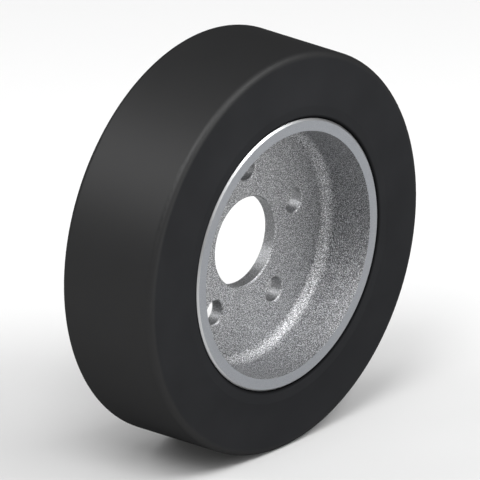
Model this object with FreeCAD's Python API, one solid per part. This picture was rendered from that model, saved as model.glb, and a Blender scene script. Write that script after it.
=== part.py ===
import FreeCAD, Part
import math
import os

# Industrial drive wheel: a cast rim with a solid rubber tyre moulded round it.
# Millimetres. The axle lies along Y through the wheel's centre, which is the origin. +Z is up.

# Tyre
tyre_diameter = 250.0
tread_width = 70.0            # between the two sides, measured at the shoulders
shoulder_round = 4.0
lip_diameter = 184.0          # outer edge of the flat lips, which lie flush with the ends of the rim
lip_edge_width = 2.6          # how far the rounded edge of each lip reaches out from the rim
lip_edge_depth = 1.9          # how far that edge dips beside the rim

# Rim
rim_width = 75.0
seat_diameter = 168.2         # the cylinder that the tyre is moulded on
mouth_diameter = 153.2        # inner edge of the machined end faces
barrel_draft = 2.0            # degrees, so that both recesses widen towards their mouths
face_chamfer = 1.1            # on the outer edge of each end face
web_thickness = 9.0           # the disc halfway along the rim
web_fillet = 6.8              # between the web and the barrel

# Hub interface in the web
pilot_diameter = 56.0
bolt_hole_diameter = 15.0
bolt_circle_diameter = 93.5
bolt_hole_count = 5
first_bolt_angle = 16.0       # degrees, turned from +X towards +Z
hole_chamfer = 0.8            # on both edges of the bore and of each bolt hole

ORIGIN = FreeCAD.Vector(0, 0, 0)
AXLE = FreeCAD.Vector(0, 1, 0)


def profile_point(radius, along):
    """A point of a turned profile: its distance from the axle and its place along the axle."""
    return FreeCAD.Vector(radius, along, 0)


def straight(start, end):
    return Part.LineSegment(profile_point(*start), profile_point(*end)).toShape()


def curved(start, middle, end):
    return Part.Arc(profile_point(*start), profile_point(*middle), profile_point(*end)).toShape()


def bent(start, end):
    """An arc that leaves its start straight along the radius and bends over to its end."""
    run = end[0] - start[0]
    rise = end[1] - start[1]
    radius = (run ** 2 + rise ** 2) / (2 * rise)
    half_turn = math.asin(run / radius) / 2
    middle = (start[0] + radius * math.sin(half_turn), start[1] + radius * (1 - math.cos(half_turn)))
    return curved(start, middle, end)


def rounded_corner(corner, inward, radius):
    """A quarter round in place of a square corner. Inward is the way from the corner into the solid."""
    centre = [place + radius * way for place, way in zip(corner, inward)]
    middle = [place - radius * way * math.sqrt(0.5) for place, way in zip(centre, inward)]
    return curved((centre[0], corner[1]), middle, (corner[0], centre[1]))


def turned(edges):
    """Turn a closed profile once round the axle."""
    outline = Part.Wire(Part.sortEdges(edges)[0])
    return Part.Face(outline).revolve(ORIGIN, AXLE, 360)


def round_edges(shape, radius, along):
    """The circular edges of this radius that lie this far from the wheel's middle, on both sides."""
    found = []
    for edge in shape.Edges:
        curve = edge.Curve
        if not isinstance(curve, Part.Circle):
            continue
        if abs(curve.Radius - radius) < 0.001 and abs(abs(curve.Center.y) - along) < 0.001:
            found.append(edge)
    return found


def bolt_holes():
    """Straight drills through the web, evenly spaced on the bolt circle."""
    start = profile_point(bolt_circle_diameter / 2, -web_thickness)
    drill = Part.makeCylinder(bolt_hole_diameter / 2, 2 * web_thickness, start, AXLE)
    drills = []
    for number in range(bolt_hole_count):
        angle = first_bolt_angle + number * 360 / bolt_hole_count
        copy = drill.copy()
        copy.rotate(ORIGIN, AXLE, -angle)
        drills.append(copy)
    return drills


def make_wheel_rim():
    """One casting: a barrel with a web halfway along it, and a recess on each side of the web."""
    face = rim_width / 2
    web = web_thickness / 2
    seat = seat_diameter / 2
    mouth = mouth_diameter / 2
    pilot = pilot_diameter / 2
    corner = mouth - (face - web) * math.tan(math.radians(barrel_draft))
    outline = [(pilot, -web), (corner, -web), (mouth, -face), (seat, -face),
               (seat, face), (mouth, face), (corner, web), (pilot, web)]
    ends = outline[1:] + outline[:1]
    rim = turned([straight(start, end) for start, end in zip(outline, ends)])
    rim = rim.cut(bolt_holes())
    rim = rim.makeFillet(web_fillet, round_edges(rim, corner, web))
    hole_edges = round_edges(rim, pilot, web) + round_edges(rim, bolt_hole_diameter / 2, web)
    rim = rim.makeChamfer(hole_chamfer, hole_edges)
    return rim.makeChamfer(face_chamfer, round_edges(rim, seat, face))


def tyre_side(side):
    """One side of the tyre, from seat to tread. Side is -1 for the outer face and 1 for the inner one."""
    seat = seat_diameter / 2
    outside = tyre_diameter / 2
    lip_start = seat + lip_edge_width
    lip_end = lip_diameter / 2
    lip_face = rim_width / 2
    groove = lip_face - lip_edge_depth
    tread_end = tread_width / 2
    shoulder = outside - shoulder_round
    return [
        bent((lip_start, side * lip_face), (seat, side * groove)),
        straight((lip_start, side * lip_face), (lip_end, side * lip_face)),
        bent((shoulder, side * tread_end), (lip_end, side * lip_face)),
        rounded_corner((outside, side * tread_end), (-1, -side), shoulder_round),
    ]


def make_solid_tyre():
    """One moulding: a plain tread, hollow sides and a flat lip beside each end of the rim."""
    seat = seat_diameter / 2
    seat_end = rim_width / 2 - lip_edge_depth
    outside = tyre_diameter / 2
    flat_end = tread_width / 2 - shoulder_round
    bore = straight((seat, -seat_end), (seat, seat_end))
    tread = straight((outside, -flat_end), (outside, flat_end))
    return turned([bore, tread] + tyre_side(-1) + tyre_side(1))


os.makedirs("parts", exist_ok=True)
make_wheel_rim().exportStep("parts/wheel_rim.step")
make_solid_tyre().exportStep("parts/solid_tyre.step")
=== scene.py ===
import math

import bpy
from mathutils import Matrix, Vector


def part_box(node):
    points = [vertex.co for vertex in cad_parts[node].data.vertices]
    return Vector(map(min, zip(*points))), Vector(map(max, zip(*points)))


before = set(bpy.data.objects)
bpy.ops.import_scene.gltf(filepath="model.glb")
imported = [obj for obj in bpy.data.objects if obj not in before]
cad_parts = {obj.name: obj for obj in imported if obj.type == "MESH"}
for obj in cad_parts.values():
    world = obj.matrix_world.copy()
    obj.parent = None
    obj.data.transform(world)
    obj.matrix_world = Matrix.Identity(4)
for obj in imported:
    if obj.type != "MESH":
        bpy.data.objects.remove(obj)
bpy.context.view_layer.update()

# Industrial drive wheel: a cast rim with turned end faces, and a solid rubber tyre moulded round it.
# Metres. The axle lies along Y, the outer face looks along -Y, and +Z is up.

# Camera: a parallel view, as in the photograph
VIEW_AZIMUTH = -50.12         # degrees, 0 looks along +Y
VIEW_ELEVATION = 21.91        # degrees above the floor
VIEW_WIDTH = 0.2871           # what the square picture takes in
VIEW_DISTANCE = 2.0

# Finishes of the rim
TURNED_DEPTH = 0.0001         # how far the turned finish reaches in from each end face of the rim
SEAT_EDGE = 0.0011            # how far the turned tyre seat, lightened by painted highlight, reaches in from the rim's outside
DRILLED_DEPTH = 0.0037        # how far the straight walls of the holes reach from the middle of the web
DRILLED_SHARE = 0.6           # how much of the cast skin the drill took off in the holes
DRILLED_DULLNESS = 0.12       # how much rougher a wall is that has lost all of it
CAST_GRAIN = 0.00055          # size of the grains in the cast skin
CAST_RELIEF = 0.00013         # their height
CAST_PATCHES = 0.012          # size of the slow changes over the metal
CAST_SHADES = (0.4, 2.4)      # darkest and lightest grain, times the cast colour
TURNED_SHADES = (0.95, 1.12)  # the same for the turned faces
TURNING_PITCH = 0.0004        # between the marks that the turning tool left
TURNING_RELIEF = 0.004        # height of the marks, as a part of the height of the grains
METAL_ROUGHNESS = (0.36, 0.46)
METAL_EDGE = 0.0008           # width of the wear along the edges
CAST_COLOUR = (0.382, 0.386, 0.395)
TURNED_COLOUR = (0.313, 0.325, 0.346)
# bare metal on worn edges, and painted highlight on the tyre seat
WEAR_AND_HIGHLIGHT_COLOUR = (0.52, 0.525, 0.53)
DRILLED_COLOUR = (0.28, 0.285, 0.292)

# Finishes of the tyre
GROOVE_SHADE_START = 0.0867         # radii over which painted shade darkens the tyre into the groove beside the rim
GROOVE_SHADE_END = 0.0848
TREAD_START = 0.1205          # radii over which the dull side passes into the smoother tread
TREAD_END = 0.1225
TREAD_COAT = 0.082            # how much of a smooth coat the tread has
RUBBER_GRAIN = 0.0008         # size of the grains in the rubber
RUBBER_RELIEF = 0.0001        # their height
RUBBER_PATCHES = 0.03         # size of the slow changes over the rubber
RUBBER_SHADES = (0.85, 1.15)  # darkest and lightest patch, times the colour of side and tread
RUBBER_ROUGHNESS = (0.45, 0.55)
RUBBER_EDGE = 0.0015          # width of the scuffing along the edges
SIDE_COLOUR = (0.0199, 0.0204, 0.0218)
TREAD_COLOUR = (0.0061, 0.0062, 0.0066)
SCUFFED_COLOUR = (0.02, 0.0204, 0.021)
# painted shade for the groove beside the rim
GROOVE_SHADE_COLOUR = (0.0045, 0.0046, 0.0049)

# Floor and light
FLOOR_SIZE = 8.0
FLOOR_COLOUR = (0.55, 0.55, 0.55, 1.0)
WHITE = (1.0, 1.0, 1.0, 1.0)
GLOW_START = -0.10            # the floor grows brighter from here on, measured away from the camera
GLOW_END = 0.40               # and stays as bright from here on
GLOW = 0.32                   # strength of that added brightness
AIR_LIGHT = 0.3               # strength of the even light from all round
SOFTBOX_SIZE = 0.8
SOFTBOX_DISTANCE = 1.5
SOFTBOXES = (                 # name, direction from the wheel, power
    ("key softbox", (-0.55, -0.2, 0.81), 15.3),
    ("top front softbox", (0.3, -0.6, 0.74), 14.8),
    ("rear softbox", (-0.54, 0.6, 0.59), 9.7),
    ("top softbox", (-0.3, -0.3, 0.9), 7.2),
    ("low front softbox", (0.21, -0.95, 0.22), 5.8),
)

rim_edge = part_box("wheel_rim")[1]
floor_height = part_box("solid_tyre")[0].z
view_turn = math.radians(VIEW_AZIMUTH)
view_lift = math.radians(VIEW_ELEVATION)


def node(tree, kind, **settings):
    """Adds a node. Settings name its properties, and its sockets as in_Name with spaces as underscores."""
    made = tree.nodes.new(kind)
    for name, value in settings.items():
        if name.startswith("in_"):
            made.inputs[name[3:].replace("_", " ")].default_value = value
        else:
            setattr(made, name, value)
    return made


def math_node(tree, operation, first, second):
    """A Math node between two sockets or numbers. Returns its output."""
    made = node(tree, "ShaderNodeMath", operation=operation)
    for place, source in enumerate((first, second)):
        if isinstance(source, bpy.types.NodeSocket):
            tree.links.new(source, made.inputs[place])
        else:
            made.inputs[place].default_value = source
    return made.outputs[0]


def ramp(tree, source, given, wanted, kind="LINEAR"):
    """A value that runs between the two wanted numbers as its source runs between the two given ones."""
    made = node(tree, "ShaderNodeMapRange", interpolation_type=kind)
    numbers = dict(zip(("From Min", "From Max", "To Min", "To Max"), (*given, *wanted)))
    for socket, number in numbers.items():
        made.inputs[socket].default_value = number
    tree.links.new(source, made.inputs["Value"])
    return made.outputs["Result"]


def new_group(name, inputs, outputs):
    """A shader node group with number sockets. Returns the tree, its inputs and its output node."""
    tree = bpy.data.node_groups.new(name, "ShaderNodeTree")
    for socket, value in inputs.items():
        made = tree.interface.new_socket(socket, in_out="INPUT", socket_type="NodeSocketFloat")
        made.default_value = value
    for socket in outputs:
        tree.interface.new_socket(socket, in_out="OUTPUT", socket_type="NodeSocketFloat")
    return tree, tree.nodes.new("NodeGroupInput").outputs, tree.nodes.new("NodeGroupOutput")


def make_place_group():
    """Where a point lies on the wheel: its distance from the axle, and from the wheel's middle along it."""
    tree, _, out = new_group("place on the wheel", {}, ("Radius", "Along"))
    split = node(tree, "ShaderNodeSeparateXYZ")
    tree.links.new(node(tree, "ShaderNodeTexCoord").outputs["Object"], split.inputs[0])
    squares = [math_node(tree, "POWER", split.outputs[axis], 2.0) for axis in "XZ"]
    tree.links.new(math_node(tree, "SQRT", math_node(tree, "ADD", *squares), 0.0), out.inputs["Radius"])
    tree.links.new(math_node(tree, "ABSOLUTE", split.outputs["Y"], 0.0), out.inputs["Along"])
    return tree


def make_grain_group():
    """Fine grain of a skin that took its surface from a mould, with slow patches over it."""
    tree, given, out = new_group(
        "moulded grain",
        {"Grain Size": 0.001, "Patch Size": 0.02},
        ("Grain", "Patches"),
    )
    place = node(tree, "ShaderNodeTexCoord").outputs["Object"]
    grain = node(tree, "ShaderNodeTexNoise", in_Detail=1.0, in_Roughness=0.5)
    patches = node(tree, "ShaderNodeTexNoise", in_Detail=2.0, in_Roughness=0.5)
    for texture, size in ((grain, "Grain Size"), (patches, "Patch Size")):
        tree.links.new(place, texture.inputs["Vector"])
        tree.links.new(math_node(tree, "DIVIDE", 1.0, given[size]), texture.inputs["Scale"])
    tree.links.new(ramp(tree, grain.outputs["Fac"], (0.45, 0.7), (0.0, 1.0)), out.inputs["Grain"])
    tree.links.new(patches.outputs["Fac"], out.inputs["Patches"])
    return tree


def make_wear_group():
    """Wear along the edges of a solid, broken up by a grain: 1 on a worn edge, 0 away from it."""
    tree, given, out = new_group("edge wear", {"Edge Width": 0.001, "Grain": 0.5}, ("Wear",))
    rounded = node(tree, "ShaderNodeBevel", samples=4)
    tree.links.new(given["Edge Width"], rounded.inputs["Radius"])
    likeness = node(tree, "ShaderNodeVectorMath", operation="DOT_PRODUCT")
    tree.links.new(rounded.outputs["Normal"], likeness.inputs[0])
    tree.links.new(node(tree, "ShaderNodeNewGeometry").outputs["Normal"], likeness.inputs[1])
    edge = ramp(tree, likeness.outputs["Value"], (0.98, 0.85), (0.0, 1.0))
    tree.links.new(math_node(tree, "MULTIPLY", edge, given["Grain"]), out.inputs["Wear"])
    return tree


def new_material(name):
    """An empty material with its output. Returns the material, its tree and the shader."""
    material = bpy.data.materials.new(name)
    material.use_nodes = True
    tree = material.node_tree
    tree.nodes.clear()
    shader = tree.nodes.new("ShaderNodeBsdfPrincipled")
    output = tree.nodes.new("ShaderNodeOutputMaterial")
    tree.links.new(shader.outputs["BSDF"], output.inputs["Surface"])
    return material, tree, shader


def use_group(tree, group, **inputs):
    """Places a node group in a material, fed by numbers or sockets. Returns its outputs."""
    made = tree.nodes.new("ShaderNodeGroup")
    made.node_tree = group
    for name, source in inputs.items():
        socket = made.inputs[name.replace("_", " ")]
        if isinstance(source, bpy.types.NodeSocket):
            tree.links.new(source, socket)
        else:
            socket.default_value = source
    return made.outputs


def mix_colours(tree, mask, first, second):
    """A colour between two colours or sockets, by a mask."""
    made = node(tree, "ShaderNodeMix", data_type="RGBA")
    tree.links.new(mask, made.inputs["Factor"])
    for socket, source in ((made.inputs[6], first), (made.inputs[7], second)):
        if isinstance(source, bpy.types.NodeSocket):
            tree.links.new(source, socket)
        else:
            socket.default_value = (*source, 1.0)
    return made.outputs[2]


def shades(colour, factors):
    """The colour made darker or lighter by each factor in turn."""
    return [tuple(factor * part for part in colour) for factor in factors]


def make_rim_metal(place_group, grain_group, wear_group):
    """Cast aluminium with a grainy skin, turned end faces, a turned tyre seat lightened by a painted
    highlight, and smoother walls in its holes.
    """
    material, tree, shader = new_material("cast rim metal")
    grain = use_group(tree, grain_group, Grain_Size=CAST_GRAIN, Patch_Size=CAST_PATCHES)
    wear = use_group(tree, wear_group, Edge_Width=METAL_EDGE, Grain=grain["Patches"])["Wear"]
    place = use_group(tree, place_group)
    radius = place["Radius"]
    faced = math_node(tree, "GREATER_THAN", place["Along"], rim_edge.y - TURNED_DEPTH)
    seat_with_highlight = math_node(tree, "GREATER_THAN", radius, rim_edge.x - SEAT_EDGE)
    turned = math_node(tree, "MAXIMUM", faced, seat_with_highlight)
    in_holes = math_node(tree, "LESS_THAN", place["Along"], DRILLED_DEPTH)
    drilled = math_node(tree, "MULTIPLY", in_holes, DRILLED_SHARE)
    skin = math_node(tree, "SUBTRACT", 1.0, math_node(tree, "MAXIMUM", turned, drilled))

    cast = mix_colours(tree, grain["Grain"], *shades(CAST_COLOUR, CAST_SHADES))
    worn = mix_colours(tree, wear, cast, WEAR_AND_HIGHLIGHT_COLOUR)
    holes = mix_colours(tree, drilled, worn, DRILLED_COLOUR)
    face = mix_colours(tree, grain["Grain"], *shades(TURNED_COLOUR, TURNED_SHADES))
    faces = mix_colours(tree, faced, holes, face)
    # the tyre seat takes the light colour as a painted highlight
    tree.links.new(mix_colours(tree, seat_with_highlight, faces, WEAR_AND_HIGHLIGHT_COLOUR), shader.inputs["Base Color"])
    shader.inputs["Metallic"].default_value = 1.0
    roughness = ramp(tree, grain["Patches"], (0.0, 1.0), METAL_ROUGHNESS)
    dulled = math_node(tree, "MULTIPLY", drilled, DRILLED_DULLNESS)
    tree.links.new(math_node(tree, "ADD", roughness, dulled), shader.inputs["Roughness"])

    marks = math_node(tree, "SINE", math_node(tree, "MULTIPLY", radius, math.tau / TURNING_PITCH), 0.0)
    turned_height = math_node(tree, "MULTIPLY", math_node(tree, "MULTIPLY", marks, TURNING_RELIEF), turned)
    cast_height = math_node(tree, "MULTIPLY", grain["Grain"], skin)
    bump = node(tree, "ShaderNodeBump", in_Strength=1.0, in_Distance=CAST_RELIEF)
    tree.links.new(math_node(tree, "ADD", cast_height, turned_height), bump.inputs["Height"])
    tree.links.new(bump.outputs["Normal"], shader.inputs["Normal"])
    return material


def make_tyre_rubber(place_group, grain_group, wear_group):
    """Black rubber with dull sides, a smoother tread, painted shade in the groove beside the rim and a
    little scuffing on its edges.
    """
    material, tree, shader = new_material("moulded tyre rubber")
    grain = use_group(tree, grain_group, Grain_Size=RUBBER_GRAIN, Patch_Size=RUBBER_PATCHES)
    wear = use_group(tree, wear_group, Edge_Width=RUBBER_EDGE, Grain=grain["Patches"])["Wear"]
    radius = use_group(tree, place_group)["Radius"]
    tread = ramp(tree, radius, (TREAD_START, TREAD_END), (0.0, 1.0))
    groove_shade = ramp(tree, radius, (GROOVE_SHADE_START, GROOVE_SHADE_END), (0.0, 1.0))

    side_colour = mix_colours(tree, grain["Patches"], *shades(SIDE_COLOUR, RUBBER_SHADES))
    tread_colour = mix_colours(tree, grain["Patches"], *shades(TREAD_COLOUR, RUBBER_SHADES))
    moulded = mix_colours(tree, tread, side_colour, tread_colour)
    scuffed = mix_colours(tree, wear, moulded, SCUFFED_COLOUR)
    # painted shade: the colour darkens towards the rim, where the groove lies in shade
    tree.links.new(mix_colours(tree, groove_shade, scuffed, GROOVE_SHADE_COLOUR), shader.inputs["Base Color"])
    shader.inputs["Specular IOR Level"].default_value = 0.0
    roughness = ramp(tree, grain["Patches"], (0.0, 1.0), RUBBER_ROUGHNESS)
    tree.links.new(roughness, shader.inputs["Roughness"])
    tree.links.new(math_node(tree, "MULTIPLY", tread, TREAD_COAT), shader.inputs["Coat Weight"])
    shader.inputs["Coat Roughness"].default_value = 0.55
    shader.inputs["Coat IOR"].default_value = 4.0
    bump = node(tree, "ShaderNodeBump", in_Strength=0.1, in_Distance=RUBBER_RELIEF)
    tree.links.new(grain["Grain"], bump.inputs["Height"])
    tree.links.new(bump.outputs["Normal"], shader.inputs["Normal"])
    return material


def dress(name, material):
    """Gives a solid of the wheel its finish."""
    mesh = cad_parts[name].data
    mesh.materials.clear()
    mesh.materials.append(material)


def seen_directly(tree):
    """1 for what the camera sees straight, in a reflection or through glass, else 0."""
    rays = node(tree, "ShaderNodeLightPath").outputs
    seen = math_node(tree, "MAXIMUM", rays["Is Camera Ray"], rays["Is Glossy Ray"])
    return math_node(tree, "MAXIMUM", seen, rays["Is Transmission Ray"])


def make_floor():
    """A plain pale floor under the tyre that keeps its shadow and grows brighter behind the wheel."""
    material, tree, shader = new_material("white floor")
    shader.inputs["Base Color"].default_value = FLOOR_COLOUR
    shader.inputs["Roughness"].default_value = 0.9
    shader.inputs["Specular IOR Level"].default_value = 0.1
    shader.inputs["Emission Color"].default_value = WHITE
    behind = node(tree, "ShaderNodeVectorMath", operation="DOT_PRODUCT")
    behind.inputs[1].default_value = (-math.sin(view_turn), math.cos(view_turn), 0.0)
    tree.links.new(node(tree, "ShaderNodeTexCoord").outputs["Object"], behind.inputs[0])
    glow = ramp(tree, behind.outputs["Value"], (GLOW_START, GLOW_END), (0.0, GLOW), "SMOOTHSTEP")
    seen_glow = math_node(tree, "MULTIPLY", seen_directly(tree), glow)
    tree.links.new(seen_glow, shader.inputs["Emission Strength"])
    bpy.ops.mesh.primitive_plane_add(size=FLOOR_SIZE, location=(0.0, 0.0, floor_height))
    floor = bpy.context.object
    floor.name = "floor"
    floor.data.materials.append(material)


def make_world():
    """A faint even light from all round."""
    world = bpy.data.worlds.new("studio")
    world.use_nodes = True
    background = world.node_tree.nodes["Background"]
    background.inputs["Color"].default_value = WHITE
    background.inputs["Strength"].default_value = AIR_LIGHT
    bpy.context.scene.world = world


def add_softbox(name, direction, power):
    """A square lamp that faces the wheel from this direction."""
    lamp = bpy.data.lights.new(name, "AREA")
    lamp.size = SOFTBOX_SIZE
    lamp.energy = power
    holder = bpy.data.objects.new(name, lamp)
    towards = Vector(direction).normalized()
    holder.location = towards * SOFTBOX_DISTANCE
    holder.rotation_euler = towards.to_track_quat("Z", "Y").to_euler()
    bpy.context.scene.collection.objects.link(holder)


def add_camera():
    """The photograph's view: from the left and above, centred on the wheel."""
    camera = bpy.data.cameras.new("camera")
    camera.type = "ORTHO"
    camera.ortho_scale = VIEW_WIDTH
    holder = bpy.data.objects.new("camera", camera)
    level = math.cos(view_lift)
    back = Vector((math.sin(view_turn) * level, -math.cos(view_turn) * level, math.sin(view_lift)))
    holder.location = back * VIEW_DISTANCE
    holder.rotation_euler = back.to_track_quat("Z", "Y").to_euler()
    bpy.context.scene.collection.objects.link(holder)
    bpy.context.scene.camera = holder


groups = (make_place_group(), make_grain_group(), make_wear_group())
dress("wheel_rim", make_rim_metal(*groups))
dress("solid_tyre", make_tyre_rubber(*groups))

make_floor()
make_world()
for softbox in SOFTBOXES:
    add_softbox(*softbox)
add_camera()
bpy.context.scene.view_settings.view_transform = "Standard"
